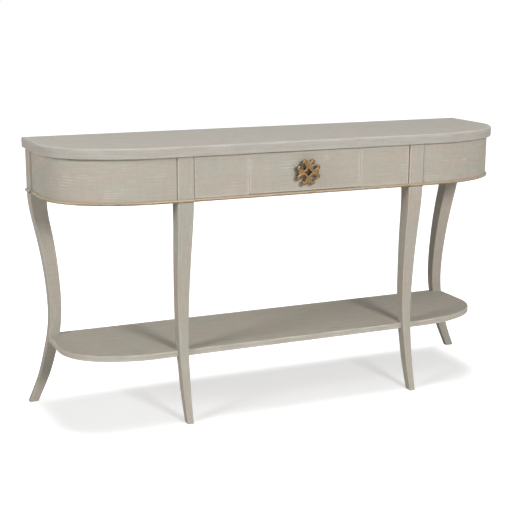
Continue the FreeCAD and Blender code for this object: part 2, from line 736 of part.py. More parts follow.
box_front_board = block("box_front_board", (f"-{box_inner}", front_rear, box_low),
                        (box_inner, box_front_rear, box_high))
piece("drawer_box_front", cut("drawer_box_front", box_front_board,
                              [drawer_bottom, knob_screw_hole] + front_screw_holes))

# Knob: one open scroll with its two curls and one arm, repeated round the middle
scroll_inner = "(sizes.scroll_radius - sizes.scroll_band)"
scroll_middle = "(sizes.scroll_radius - sizes.scroll_band / 2)"


def scroll_point(radius, angle):
    return (f"sizes.scroll_spread + {radius} * cos({angle} * 1 deg)",
            f"sizes.scroll_spread + {radius} * sin({angle} * 1 deg)")


upper_lip = "(45 + sizes.scroll_mouth_angle)"
lower_lip = "(45 - sizes.scroll_mouth_angle)"
knob = doc.addObject("PartDesign::Body", "knob")
scroll_pad = pad(knob, sketch(
    knob, "scroll", "XZ_Plane", "0",
    [
        scroll_point("sizes.scroll_radius", upper_lip),
        scroll_point("sizes.scroll_radius", lower_lip),
        scroll_point(scroll_inner, lower_lip),
        scroll_point(scroll_inner, upper_lip),
    ],
    {
        0: ("sizes.scroll_spread", "sizes.scroll_spread", 1),
        1: (*scroll_point(scroll_middle, lower_lip), 1),
        2: ("sizes.scroll_spread", "sizes.scroll_spread", -1),
        3: (*scroll_point(scroll_middle, upper_lip), 1),
    },
), "sizes.knob_thickness")


def curl(name, lip):
    across, along = scroll_point("sizes.curl_spread", lip)
    ends = [(f"{across} - sizes.curl_radius", along), (f"{across} + sizes.curl_radius", along)]
    return pad(knob, sketch(knob, name, "XZ_Plane", "0", ends, {0: (across, along, 1), 1: (across, along, 1)}),
               "sizes.knob_thickness")


curl_pads = [curl("upper_curl", upper_lip), curl("lower_curl", lower_lip)]
arm_pad = pad(knob, sketch(
    knob, "arm", "XZ_Plane", "0",
    rectangle("-sizes.arm_width / 2", "sizes.arm_start", "sizes.arm_width / 2", "sizes.arm_end"),
), "sizes.knob_thickness")
ring = knob.newObject("PartDesign::PolarPattern", "scroll_ring")
ring.Originals = [scroll_pad, arm_pad] + curl_pads
ring.Axis = (knob.Origin.OriginFeatures[1], [""])
ring.Angle = 360
ring.Occurrences = 4
knob.Tip = ring
knob.setExpression("Placement.Base.y", disc_front)
knob.setExpression("Placement.Base.z", knob_middle)
piece("knob", knob)

doc.recompute()
for thing in doc.Objects:
    if "Invalid" in thing.State or "Error" in thing.State:
        raise RuntimeError(f"{thing.Name} did not rebuild: {thing.State}")
for thing in pieces:
    if thing.Shape.isNull() or not thing.Shape.isValid() or not thing.Shape.Solids:
        raise RuntimeError(f"{thing.Label} has no valid solid")

os.makedirs("parts", exist_ok=True)
for thing in pieces:
    thing.Shape.exportStep(f"parts/{thing.Label}.step")
print(f"{len(pieces)} pieces written")
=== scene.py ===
import math

import bpy
import numpy as np
from mathutils import Matrix, Vector


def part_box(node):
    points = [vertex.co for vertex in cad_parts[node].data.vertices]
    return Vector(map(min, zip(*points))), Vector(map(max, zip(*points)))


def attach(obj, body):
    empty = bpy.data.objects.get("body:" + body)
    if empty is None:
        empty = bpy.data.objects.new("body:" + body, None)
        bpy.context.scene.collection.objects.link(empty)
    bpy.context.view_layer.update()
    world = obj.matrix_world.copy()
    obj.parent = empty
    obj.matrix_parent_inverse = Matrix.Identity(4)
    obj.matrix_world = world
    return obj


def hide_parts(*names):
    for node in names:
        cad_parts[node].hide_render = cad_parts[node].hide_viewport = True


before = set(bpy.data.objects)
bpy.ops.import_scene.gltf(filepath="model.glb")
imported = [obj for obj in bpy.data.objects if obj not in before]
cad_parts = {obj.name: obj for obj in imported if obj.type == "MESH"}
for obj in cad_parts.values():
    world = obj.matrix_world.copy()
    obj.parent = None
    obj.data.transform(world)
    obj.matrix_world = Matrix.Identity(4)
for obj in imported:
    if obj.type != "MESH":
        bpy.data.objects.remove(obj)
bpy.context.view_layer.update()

scene = bpy.context.scene
print("frame loaded,", len(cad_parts), "nodes")


# sRGB hex to linear colour with full alpha
def linear(shade):
    channels = np.array([int(shade[i:i + 2], 16) for i in (1, 3, 5)]) / 255
    curved = np.where(channels <= 0.04045, channels / 12.92, ((channels + 0.055) / 1.055) ** 2.4)
    return (*curved.tolist(), 1.0)


# adds one node; settings are its own properties, its sockets or the stops of a ramp, and links go to
# its sockets. A colour Mix has its share in socket 0, its colours in 6 and 7 and its result in output 2.
def put(tree, kind, settings=None, links=None):
    node = tree.nodes.new("ShaderNode" + kind)
    for key, value in (settings or {}).items():
        if key == "stops":
            ramp = node.color_ramp.elements
            while len(ramp) < len(value):
                ramp.new(1.0)
            for stop, (position, shade) in zip(ramp, value):
                stop.position = position
                stop.color = linear(shade)
        elif isinstance(key, str) and hasattr(node, key):
            setattr(node, key, value)
        else:
            node.inputs[key].default_value = value
    for key, source in (links or {}).items():
        tree.links.new(source, node.inputs[key])
    return node


def newMaterial(name):
    material = bpy.data.materials.new(name)
    material.use_nodes = True
    material.node_tree.nodes.clear()
    return material, material.node_tree


# where the pattern lies: the piece's own map, or object space turned so the grain runs along one axis
grainTurns = {"x": (0, 0, 0), "y": (0, 0, -math.pi / 2)}


def grainSpace(tree, grain):
    if grain == "map":
        return put(tree, "UVMap", {"uv_map": "grain"}).outputs["UV"]
    place = put(tree, "TexCoord").outputs["Object"]
    return put(tree, "Mapping", {"Rotation": grainTurns[grain]}, {"Vector": place}).outputs["Vector"]


# noise stretched to cells of the given length and width, in metres
def cells(tree, space, long, wide, detail=2.0, rough=0.5):
    stretched = put(tree, "Mapping", {"Scale": (1 / long, 1 / wide, 1 / wide)}, {"Vector": space})
    noise = put(tree, "TexNoise", {"Scale": 1.0, "Detail": detail, "Roughness": rough},
                {"Vector": stretched.outputs["Vector"]})
    return noise.outputs["Fac"]


# oak under a hand-brushed greige wash, waxed matt: soft grey-beige with fine pale streaks along the
# grain, cloudy warm and cool patches, limed figure here and there, and edges rubbed back to a chalky cream
washLook = {
    "low": "#B1A99C",
    "body": "#BAB2A5",
    "high": "#C2BBAE",
    "warm": "#BFB0A3",
    "cool": "#B4B5A8",
    "pore": "#999083",
    "chalk": "#D8D3C7",
    "streak": (0.11, 0.0024),    # oak's pores are 0.3 mm wide; drawn eight times coarser so they show
    "fleck": (0.03, 0.0014),     # short dark pores, also coarser than real
    "cloud": (0.2, 0.06),
    "brush": (0.09, 0.009),      # what one stroke of the brush leaves
    "sweep": (0.0035, 0.09),     # marks of the brush pulled across the grain
    "mottle": (0.022, 0.013),
    "ring": 0.008,               # spacing of the growth rings that take the lime
    "ringStretch": 3.2,          # scale along the grain, low so that the rings wander slowly
    "ringWander": 16.0,
    "patch": (0.06, 0.045),      # how far limed figure holds together
    "mottleShare": 0.4,
    "sweepShare": 0.45,
    "tintShare": 0.5,
    "poreShare": 0.3,
    "limeShare": 0.5,
    "edgeShare": (0.15, 0.85),   # chalk on a worn edge, least and most
    "fleckRelief": 0.5,
    "relief": 0.0005,
    "roughness": (0.64, 0.78),
    "shine": 0.08,               # dry wax on chalky wash gives back far less than lacquer does
}
bandTurn = 2 * math.pi / 20      # Blender's band texture repeats after this length at scale one


def washedOak(name, grain, look=washLook):
    material, tree = newMaterial(name)
    space = grainSpace(tree, grain)
    streak = cells(tree, space, *look["streak"], detail=3.0, rough=0.6)
    fleck = cells(tree, space, *look["fleck"], detail=1.0)
    cloud = cells(tree, space, *look["cloud"])
    brush = cells(tree, space, *look["brush"], rough=0.6)
    sweep = cells(tree, space, *look["sweep"])
    patch = cells(tree, space, *look["patch"], detail=1.0)
    mottle = cells(tree, space, *look["mottle"], detail=3.0)
    grained = put(tree, "Math", {"operation": "MULTIPLY_ADD", 1: look["mottleShare"]}, {0: mottle, 2: streak})
    pulled = put(tree, "Math", {"operation": "MULTIPLY_ADD", 1: look["sweepShare"]},
                 {0: sweep, 2: grained.outputs[0]})
    woodStops = [(0.72, look["low"]), (0.92, look["body"]), (1.0, look["high"])]
    wood = put(tree, "ValToRGB", {"stops": woodStops}, {"Fac": pulled.outputs[0]})
    tint = put(tree, "ValToRGB", {"stops": [(0.36, look["cool"]), (0.64, look["warm"])]}, {"Fac": cloud})
    toned = put(tree, "Mix", {"data_type": "RGBA", 0: look["tintShare"]},
                {6: wood.outputs["Color"], 7: tint.outputs["Color"]})
    poreShare = put(tree, "MapRange", {"From Min": 0.6, "From Max": 0.74, "To Max": look["poreShare"]},
                    {"Value": fleck})
    pored = put(tree, "Mix", {"data_type": "RGBA", 7: linear(look["pore"])},
                {0: poreShare.outputs["Result"], 6: toned.outputs[2]})
    # lime lies in the rings, and only inside the patches
    stretched = put(tree, "Mapping", {"Scale": (look["ringStretch"], bandTurn / look["ring"], 1)},
                    {"Vector": space})
    ring = put(tree, "TexWave", {"bands_direction": "Y", "Scale": 1.0, "Distortion": look["ringWander"],
                                 "Detail": 2.0, "Detail Scale": 0.35},
               {"Vector": stretched.outputs["Vector"]})
    ringLine = put(tree, "MapRange", {"From Min": 0.6, "From Max": 0.95, "To Max": look["limeShare"]},
                   {"Value": ring.outputs["Fac"]})
    figured = put(tree, "MapRange", {"From Min": 0.57, "From Max": 0.7}, {"Value": patch})
    limed = put(tree, "Math", {"operation": "MULTIPLY"},
                {0: ringLine.outputs["Result"], 1: figured.outputs["Result"]})
    wear = put(tree, "Attribute", {"attribute_name": "wear"})
    broken = put(tree, "MapRange", {"From Min": 0.34, "From Max": 0.62, "To Min": look["edgeShare"][0],
                                    "To Max": look["edgeShare"][1]}, {"Value": brush})
    rubbed = put(tree, "Math", {"operation": "MULTIPLY"},
                 {0: wear.outputs["Fac"], 1: broken.outputs["Result"]})
    chalkShare = put(tree, "Math", {"operation": "MAXIMUM"}, {0: rubbed.outputs[0], 1: limed.outputs[0]})
    chalked = put(tree, "Mix", {"data_type": "RGBA", 7: linear(look["chalk"])},
                  {0: chalkShare.outputs[0], 6: pored.outputs[2]})
    gloss = put(tree, "MapRange", {"From Min": 0.3, "From Max": 0.7, "To Min": look["roughness"][0],
                                   "To Max": look["roughness"][1]}, {"Value": brush})
    height = put(tree, "Math", {"operation": "MULTIPLY_ADD", 1: look["fleckRelief"]}, {0: fleck, 2: streak})
    bump = put(tree, "Bump", {"Strength": 0.12, "Distance": look["relief"]}, {"Height": height.outputs[0]})
    shader = put(tree, "BsdfPrincipled", {"IOR": 1.5, "Specular IOR Level": look["shine"]},
                 {"Base Color": chalked.outputs[2], "Roughness": gloss.outputs["Result"],
                  "Normal": bump.outputs["Normal"]})
    put(tree, "OutputMaterial", None, {"Surface": shader.outputs["BSDF"]})
    return material


# gold leaf over brown bole on a wooden bead, worn in patches. Pale towards its upper side and bole-brown
# towards its foot: painted highlight above and painted shade below
giltLook = {
    "bole": "#705A40",
    "leaf": "#A28C71",
    "rubbed": "#B5A690",
    "patch": (0.03, 0.006),
    "lap": (0.08, 0.02),         # one leaf is about 80 mm square
    # share of the bead's height in the leaf's colour: painted highlight at its head, painted shade at its
    # foot
    "paintedLightShare": 0.7,
    "relief": 0.0004,
    "roughness": (0.45, 0.62),
    "metallic": 0.3,             # worn leaf, so bole and wax show between the gold
    "shine": 0.1,
}


def rubbedGilt(name, look=giltLook):
    material, tree = newMaterial(name)
    space = grainSpace(tree, "map")
    patch = cells(tree, space, *look["patch"], detail=3.0, rough=0.6)
    lap = cells(tree, space, *look["lap"], detail=1.0)
    # the bead's height: painted shade at its foot, painted highlight at its head
    crown = put(tree, "Attribute", {"attribute_name": "wear"})
    mixed = put(tree, "Math", {"operation": "MULTIPLY_ADD", 1: look["paintedLightShare"]},
                {0: crown.outputs["Fac"], 2: patch})
    leafStops = [(0.5, look["bole"]), (0.75, look["leaf"]), (1.0, look["rubbed"])]
    shade = put(tree, "ValToRGB", {"stops": leafStops}, {"Fac": mixed.outputs[0]})
    gloss = put(tree, "MapRange", {"From Min": 0.3, "From Max": 0.7, "To Min": look["roughness"][0],
                                   "To Max": look["roughness"][1]}, {"Value": lap})
    bump = put(tree, "Bump", {"Strength": 0.2, "Distance": look["relief"]}, {"Height": patch})
    shader = put(tree, "BsdfPrincipled", {"Metallic": look["metallic"], "Specular IOR Level": look["shine"]},
                 {"Base Color": shade.outputs["Color"], "Roughness": gloss.outputs["Result"],
                  "Normal": bump.outputs["Normal"]})
    put(tree, "OutputMaterial", None, {"Surface": shader.outputs["BSDF"]})
    return material


# sand-cast brass, pickled dark and rubbed on the high places. Its wear attribute takes it from brown to warm
# gold: patina in the hollows and rubbed crests, with painted shade on the casting's sides and in the eyes of
# its curls
brassLook = {
    "dark": "#241B10",
    "aged": "#4C3B28",
    "bright": "#7B6345",
    "sand": 0.0012,              # casting sand is 0.2 mm; drawn coarser so it shows
    "tarnish": 0.012,            # a spot of tarnish
    "tarnishShare": 0.45,
    "relief": 0.0003,
    "roughness": (0.34, 0.52),
}


def castBrass(name, look=brassLook):
    material, tree = newMaterial(name)
    space = put(tree, "TexCoord").outputs["Object"]
    sand = cells(tree, space, look["sand"], look["sand"], detail=2.0)
    tarnish = cells(tree, space, look["tarnish"], look["tarnish"], detail=3.0, rough=0.6)
    # rubbed crests and patina, with painted shade on the casting's sides and in its curls' eyes
    crest = put(tree, "Attribute", {"attribute_name": "wear"})
    mixed = put(tree, "Math", {"operation": "MULTIPLY_ADD", 1: look["tarnishShare"]},
                {0: tarnish, 2: crest.outputs["Fac"]})
    brassStops = [(0.2, look["dark"]), (0.6, look["aged"]), (1.0, look["bright"])]
    shade = put(tree, "ValToRGB", {"stops": brassStops}, {"Fac": mixed.outputs[0]})
    gloss = put(tree, "MapRange", {"From Min": 0.3, "From Max": 0.7, "To Min": look["roughness"][0],
                                   "To Max": look["roughness"][1]}, {"Value": tarnish})
    bump = put(tree, "Bump", {"Strength": 0.3, "Distance": look["relief"]}, {"Height": sand})
    shader = put(tree, "BsdfPrincipled", {"Metallic": 1.0},
                 {"Base Color": shade.outputs["Color"], "Roughness": gloss.outputs["Result"],
                  "Normal": bump.outputs["Normal"]})
    put(tree, "OutputMaterial", None, {"Surface": shader.outputs["BSDF"]})
    return material


# planed poplar, unfinished: pale tan with darker growth lines and a dry matt surface
poplarLook = {
    "pale": "#CDB792",
    "line": "#A98B62",
    "green": "#B7A57C",
    "ring": (0.35, 0.007),       # growth rings on a flat-sawn face
    "fibre": (0.06, 0.0012),     # fibres are far finer; drawn coarser so they show
    "fibreShare": 0.35,
    "relief": 0.0004,
    "roughness": (0.6, 0.8),
}


def planedPoplar(name, grain, look=poplarLook):
    material, tree = newMaterial(name)
    space = grainSpace(tree, grain)
    ring = cells(tree, space, *look["ring"], detail=2.0)
    fibre = cells(tree, space, *look["fibre"], detail=2.0)
    ringStops = [(0.34, look["green"]), (0.5, look["pale"]), (0.66, look["line"])]
    shade = put(tree, "ValToRGB", {"stops": ringStops}, {"Fac": ring})
    fibreShare = put(tree, "MapRange", {"From Min": 0.5, "From Max": 0.75, "To Max": look["fibreShare"]},
                     {"Value": fibre})
    wood = put(tree, "Mix", {"data_type": "RGBA", 7: linear(look["line"])},
               {0: fibreShare.outputs["Result"], 6: shade.outputs["Color"]})
    gloss = put(tree, "MapRange", {"To Min": look["roughness"][0], "To Max": look["roughness"][1]},
                {"Value": ring})
    bump = put(tree, "Bump", {"Strength": 0.2, "Distance": look["relief"]}, {"Height": fibre})
    shader = put(tree, "BsdfPrincipled", {"IOR": 1.5},
                 {"Base Color": wood.outputs[2], "Roughness": gloss.outputs["Result"],
                  "Normal": bump.outputs["Normal"]})
    put(tree, "OutputMaterial", None, {"Surface": shader.outputs["BSDF"]})
    return material


# zinc plate on turned steel: bluish grey with dull spots
zincLook = {"bright": "#A4A6A8", "dull": "#787A7C", "spot": 0.002, "relief": 0.0002, "roughness": (0.25, 0.5)}


def platedZinc(name, look=zincLook):
    material, tree = newMaterial(name)
    spot = cells(tree, put(tree, "TexCoord").outputs["Object"], look["spot"], look["spot"])
    shade = put(tree, "ValToRGB", {"stops": [(0.35, look["dull"]), (0.65, look["bright"])]}, {"Fac": spot})
    gloss = put(tree, "MapRange", {"To Min": look["roughness"][0], "To Max": look["roughness"][1]},
                {"Value": spot})
    bump = put(tree, "Bump", {"Strength": 0.1, "Distance": look["relief"]}, {"Height": spot})
    shader = put(tree, "BsdfPrincipled", {"Metallic": 1.0},
                 {"Base Color": shade.outputs["Color"], "Roughness": gloss.outputs["Result"],
                  "Normal": bump.outputs["Normal"]})
    put(tree, "OutputMaterial", None, {"Surface": shader.outputs["BSDF"]})
    return material


# the top takes a greyer, cooler copy of the wash with duller chalk on its edge: painted shade on its upper
# face and eased edge. The knob's stem is lighter than its casting
topLook = {**washLook, "low": "#A8A299", "body": "#B3ADA4", "high": "#BDB8AF", "warm": "#B6ACA4",
           "cool": "#AFAFA7", "chalk": "#C5C0B5"}
# the stem's lighter copy of the brass is painted light where it shows in shade through the knob's middle hole
stemLook = {**brassLook, "dark": "#46372A", "aged": "#7A6140", "bright": "#8F764F"}
finishes = {
    "wash": washedOak("washed oak, brushed and waxed", "map"),
    "washTopShaded": washedOak("washed oak, top, painted shade", "map", topLook),
    "washAcross": washedOak("washed oak, board along", "x"),
    "gilt": rubbedGilt("gilt over bole, painted light and shade"),
    "brass": castBrass("brass, cast and aged"),
    "stem": castBrass("brass, turned, painted lighter", stemLook),
    "poplarAcross": planedPoplar("poplar, planed, board across", "x"),
    "poplarDeep": planedPoplar("poplar, planed, board deep", "y"),
    "zinc": platedZinc("steel, zinc plated"),
}
print("finishes made,", len(finishes))


# length along a line of points, from its start
def runLength(points):
    steps = np.linalg.norm(np.diff(points, axis=0), axis=1)
    return np.concatenate([[0.0], np.cumsum(steps)])


fitted = []                      # names of the pieces so far
grainShift = 0.37                # each piece's grain starts this much further on
creaseAngle = math.radians(40)


# faces of a closed grid: rows run from lid to lid, columns close round the piece. The sign of the volume,
# the sum of the triangles' triple products, says whether they have to be turned to face outwards.
def shell(grid):
    rows, columns = grid.shape[:2]
    index = np.arange(rows * columns).reshape(rows, columns)
    ring = np.concatenate([index, index[:, :1]], axis=1)
    quads = np.stack([ring[:-1, :-1], ring[:-1, 1:], ring[1:, 1:], ring[1:, :-1]], axis=-1)
    flat = quads.reshape(-1, 4)
    lids = [index[0, ::-1], index[-1]]
    fans = [np.stack([np.full(columns - 2, lid[0]), lid[1:-1], lid[2:]], axis=1) for lid in lids]
    triangles = grid.reshape(-1, 3)[np.concatenate([flat[:, :3], flat[:, [0, 2, 3]], *fans])]
    volume = np.einsum("ij,ij->i", triangles[:, 0], np.cross(triangles[:, 1], triangles[:, 2])).sum()
    return quads, lids, -1 if volume < 0 else 1


# a closed grid as a mesh. Its map holds metres, except on flat strips and lids, which take two axes
# straight from space.
def skin(grid, around, wear, flatAxes=(0, 1), flatStrips=None):
    quads, lids, turn = shell(grid)
    quadMap = np.stack([around[:-1, :-1], around[:-1, 1:], around[1:, 1:], around[1:, :-1]], axis=2)
    points = grid.reshape(-1, 3)
    flatMap = points[:, flatAxes]
    if flatStrips is not None:
        quadMap[flatStrips] = flatMap[quads[flatStrips]]
    quads = quads.reshape(-1, 4)[:, ::turn]
    quadMap = quadMap.reshape(-1, 4, 2)[:, ::turn]
    lids = [lid[::turn] for lid in lids]
    mesh = bpy.data.meshes.new("skin")
    mesh.from_pydata(points, [], quads.tolist() + [lid.tolist() for lid in lids])
    corners = np.concatenate([quadMap.reshape(-1, 2), *[flatMap[lid] for lid in lids]])
    corners += len(fitted) * grainShift
    mesh.uv_layers.new(name="grain").data.foreach_set("uv", corners.ravel())
    mesh.attributes.new("wear", "FLOAT", "POINT").data.foreach_set("value", wear.ravel())
    mesh.polygons.foreach_set("use_smooth", np.ones(len(mesh.polygons), bool))
    mesh.set_sharp_from_angle(angle=creaseAngle)
    return mesh


# names the mesh, gives it its finish and puts it in a CAD node's place
def fitPiece(name, mesh, finish, slot, body, *nodes):
    fitted.append(name)
    mesh.name = name
    mesh.materials.append(finishes[finish])
    piece = bpy.data.objects.new(name, mesh)
    scene.collection.objects.link(piece)
    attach(piece, body)
    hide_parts(*nodes)


# the apron's face in plan: a wide bow in front that tightens into a corner at each end
apronPlan = {
    "front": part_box("drawer_front")[0].y,
    "end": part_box("end_apron_right")[1].x,
    "low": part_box("end_apron_right")[0].z,
    "high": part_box("top")[0].z,
    "thickness": 0.02,
    "bow": 0.393,
    "bowTurn": math.radians(31),
    "corner": 0.194,
    "steps": 49,
    "edgeRound": 0.0012,
    "edgeWear": 0.6,
    "shadowGap": 0.0022,         # open line between board and front post
}
# the beads lie on the posts' faces, so their boxes give the posts' places
frontPost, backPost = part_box("bead_front_post_right"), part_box("bead_back_post_right")
postInner, postOuter, postFace = frontPost[0].x, frontPost[1].x, frontPost[1].y
backPostFront, backPostRear, endFace = backPost[0].y, backPost[1].y, backPost[0].x
postX = (postInner + postOuter) / 2
backPostY = (backPostFront + backPostRear) / 2


# the bend to the right, so far outside the face: at each turn of the heading, the arc's centre plus its
# radius along the heading, on the bow first and on the corner after the bow's turn
def bend(offset, plan=apronPlan):
    turn = np.linspace(0, math.pi / 2, plan["steps"])
    heading = np.stack([np.sin(turn), -np.cos(turn)], axis=-1)
    sine, cosine = math.sin(plan["bowTurn"]), math.cos(plan["bowTurn"])
    cornerX = plan["end"] - plan["corner"]
    bowX = cornerX - (plan["bow"] - plan["corner"]) * sine
    cornerY = plan["front"] + plan["bow"] * (1 - cosine) + plan["corner"] * cosine
    onBow = (turn < plan["bowTurn"])[:, None]
    centre = np.where(onBow, [bowX, plan["front"] + plan["bow"]], [cornerX, cornerY])
    radius = np.where(onBow, plan["bow"], plan["corner"]) + offset
    return centre + radius * heading, heading


# the bend with a straight run before it, from startX, and one after it, to endY
def apronRun(startX, endY, plan=apronPlan):
    curve, heading = bend(0.0, plan)
    path = np.concatenate([[[startX, plan["front"]]], curve, [[plan["end"], endY]]])
    return path, np.concatenate([[[0, -1]], heading, [[1, 0]]])


# ring round a rectangle with eased corners, anticlockwise: a quarter circle at each corner, and on each
# flat three points, two of which hold the flat near its ends
def easedRing(low, high, ease, steps=5, holds=(0.04, 0.5, 0.96)):
    low, high = np.asarray(low, float), np.asarray(high, float)
    arcs = []
    for quarter, sign in enumerate(((1, 1), (-1, 1), (-1, -1), (1, -1))):
        angle = np.radians(90 * quarter + np.linspace(0, 90, steps))
        centre = np.where(np.array(sign) > 0, high - ease, low + ease)
        arcs.append(centre[..., None, :] + ease * np.stack([np.cos(angle), np.sin(angle)], axis=-1))
    parts = []
    for arc, following in zip(arcs, arcs[1:] + arcs[:1]):
        gap = following[..., :1, :] - arc[..., -1:, :]
        parts += [arc, arc[..., -1:, :] + gap * np.array(holds)[:, None]]
    wear = np.tile(np.concatenate([np.ones(steps), np.zeros(len(holds))]), 4)
    return np.concatenate(parts, axis=-2), wear


# a section of (outward, height) points carried along a path in plan, outward taken along each heading
def carry(path, heading, section):
    grid = np.empty((len(path), len(section), 3))
    grid[..., :2] = path[:, None] + heading[:, None] * section[None, :, :1]
    grid[..., 2] = section[:, 1]
    along = runLength(path)
    across = runLength(np.concatenate([section, section[:1]]))
    return grid, np.stack(np.meshgrid(along, across, indexing="ij"), axis=-1)


# shapes are worked out for the right-hand side; side is -1 for the left one
def mirrored(grid, side):
    return grid * np.array([side, 1, 1])


sides = {"left": -1, "right": 1}

# end aprons, bent from the front post round to the back post
for side, sign in sides.items():
    path, heading = apronRun(postOuter + apronPlan["shadowGap"], backPostFront)
    section, wear = easedRing((-apronPlan["thickness"], apronPlan["low"]), (0, apronPlan["high"]),
                              apronPlan["edgeRound"])
    grid, around = carry(path, heading, section)
    wear = np.tile(wear * apronPlan["edgeWear"], (len(path), 1))
    fitPiece(f"apron_end_{side}", skin(mirrored(grid, sign), around, wear),
             "wash", "painted_wood", "table", f"end_apron_{side}")

# gilded beads: the section is an arc of a circle, bowed out from the face by proud over its height
bead = {"height": 0.0095, "proud": 0.0055, "steps": 13}


def beadSection(look=bead):
    half = look["height"] / 2
    centre = (look["proud"] ** 2 - half ** 2) / (2 * look["proud"])
    radius = look["proud"] - centre
    sweep = math.pi - math.atan2(half, centre)
    angle = np.linspace(-sweep, sweep, look["steps"])
    height = apronPlan["low"] + half + radius * np.sin(angle)
    return np.stack([centre + radius * np.cos(angle), height], axis=-1)


# the wear attribute on a bead is its height, from dark bole at the foot to pale leaf at the head: painted
# shade below and painted highlight above
def fitBead(name, node, path, heading, sign):
    section = beadSection()
    grid, around = carry(path, heading, section)
    wear = (section[:, 1] - apronPlan["low"]) / bead["height"]
    fitPiece(name, skin(mirrored(grid, sign), around, np.tile(wear, (len(path), 1))),
             "gilt", "gilded_wood", "table", node)


ahead, sideways = np.array([[0, -1]] * 2), np.array([[1, 0]] * 2)
for side, sign in sides.items():
    fitBead(f"bead_end_{side}_gilt", f"bead_end_{side}", *apronRun(postOuter, backPostFront), sign)
    across = np.array([[postInner, postFace], [postOuter, postFace]])
    fitBead(f"bead_front_post_{side}_gilt", f"bead_front_post_{side}", across, ahead, sign)
    deep = np.array([[endFace, backPostFront], [endFace, backPostRear]])
    fitBead(f"bead_back_post_{side}_gilt", f"bead_back_post_{side}", deep, sideways, sign)
front = np.array([[-postInner, apronPlan["front"]], [postInner, apronPlan["front"]]])
fitBead("bead_front_gilt", "bead_front", front, ahead, 1)
print("aprons and beads fitted")


# edge of a board as (inset, height): in from the flat, round the upper edge, down the side and back under.
# Reach lists points on the flats, so far in from the eased edge, and hold keeps the side flat beside it.
# Wear fades with the distance from the nearest eased edge.
def boardEdge(low, high, upperRound, lowerRound, reach, fade, steps=6, hold=0.0012):
    angle = np.linspace(0, math.pi / 2, steps)
    reach = np.array(reach)
    side = [high - upperRound - hold, (low + high) / 2, low + lowerRound + hold]
    insets = [reach[::-1] + upperRound, upperRound * (1 - np.sin(angle)), np.zeros(len(side)),
              lowerRound * (1 - np.cos(angle)), reach + lowerRound]
    heights = [np.full(len(reach), high), high - upperRound * (1 - np.cos(angle)), side,
               low + lowerRound * (1 - np.sin(angle)), np.full(len(reach), low)]
    away = [reach[::-1], np.zeros(steps), [hold, (high - low) / 3, hold], np.zeros(steps), reach]
    profile = np.stack([np.concatenate(insets), np.concatenate(heights)], axis=-1)
    return profile, np.exp(-np.concatenate(away) / fade)


# a board from its outlines, one for each point of its edge, set at that point's height
def board(outlines, profile, wear, axes=(0, 1, 2)):
    grid = np.empty((*outlines.shape[:2], 3))
    grid[..., axes[:2]] = outlines
    grid[..., axes[2]] = profile[:, 1:]
    widest = outlines[np.argmin(profile[:, 0])]
    along = runLength(np.concatenate([widest, widest[:1]]))
    around = np.stack(np.meshgrid(runLength(profile), along, indexing="ij"), axis=-1)[..., ::-1].copy()
    flat = np.abs(np.diff(profile[:, 1])) < 1e-9
    return skin(grid, around, np.tile(wear[:, None], (1, outlines.shape[1])), axes[:2], flat)


# outline of a D-ended board: the right half from the middle of the front to the back corner, then its
# mirror image, each row moved in by the profile's inset along the mitres; a notch's walls aren't moved
def dEnded(offset, rear, profile, frontNotch=None, backNotch=None):
    curve, heading = bend(offset)
    end = apronPlan["end"] + offset
    line = apronPlan["front"] - offset
    spots, mitres, eases = [], [], []
    if frontNotch is not None:
        (left, right), depth = frontNotch
        spots.append([[left, line], [left, depth], [right, depth], [right, line]])
        mitres.append([[0, -1]] * 4)
        eases.append([1, 0, 0, 1])
    spots.append(curve)
    mitres.append(heading)
    eases.append(np.ones(len(curve)))
    if backNotch is None:
        spots.append([[end, rear]])
        mitres.append([[1, 1]])
        eases.append([1])
    else:
        inner, depth = backNotch
        spots.append([[end, depth], [inner, depth], [inner, rear]])
        mitres.append([[1, 0], [1, 1], [0, 1]])
        eases.append([1, 0, 1])
    spots, mitres, eases = (np.concatenate(part).astype(float) for part in (spots, mitres, eases))
    right = spots - mitres * eases[:, None] * profile[:, None, :1]
    return np.concatenate([right, right[:, ::-1] * np.array([-1, 1])], axis=1)


# top: one slab, with its upper edge eased more than its lower one
topLow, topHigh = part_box("top")
top = {
    "overhang": topHigh.x - apronPlan["end"],
    "upperRound": 0.0045,
    "lowerRound": 0.003,
    "reach": (0.0012, 0.004, 0.012, 0.03),
    "fade": 0.006,
    "sideChalkAndHighlight": 0.5,             # the upright edge is chalked all over: partly rubbed, partly a painted highlight on the edge band
}
profile, wear = boardEdge(topLow.z, topHigh.z, top["upperRound"], top["lowerRound"],
                          top["reach"], top["fade"])
wear = np.maximum(wear, top["sideChalkAndHighlight"] * (profile[:, 0] < 1e-6))
fitPiece("top_slab", board(dEnded(top["overhang"], topHigh.y, profile), profile, wear),
         "washTopShaded", "painted_wood", "table", "top")


# clamped cubic through the knots: slopes come from the three-term equations that make bends match, and
# between two knots the curve is the Hermite blend of their values and slopes
def fairCurve(knots, values, at, firstSlope, lastSlope):
    knots, values = np.asarray(knots, float), np.asarray(values, float)
    gap = np.diff(knots)
    rise = np.diff(values) / gap
    count = len(knots)
    matrix, right = np.eye(count), np.zeros(count)
    inner = np.arange(1, count - 1)
    matrix[inner, inner - 1] = gap[1:]
    matrix[inner, inner] = 2 * (gap[:-1] + gap[1:])
    matrix[inner, inner + 1] = gap[:-1]
    right[inner] = 3 * (gap[1:] * rise[:-1] + gap[:-1] * rise[1:])
    right[0], right[-1] = firstSlope, lastSlope
    slopes = np.linalg.solve(matrix, right)
    spot = np.clip(np.searchsorted(knots, at, side="right") - 1, 0, count - 2)
    share = (at - knots[spot]) / gap[spot]
    square, cube = share ** 2, share ** 3
    return ((2 * cube - 3 * square + 1) * values[spot]
            + (cube - 2 * square + share) * gap[spot] * slopes[spot]
            + (3 * square - 2 * cube) * values[spot + 1]
            + (cube - square) * gap[spot] * slopes[spot + 1])


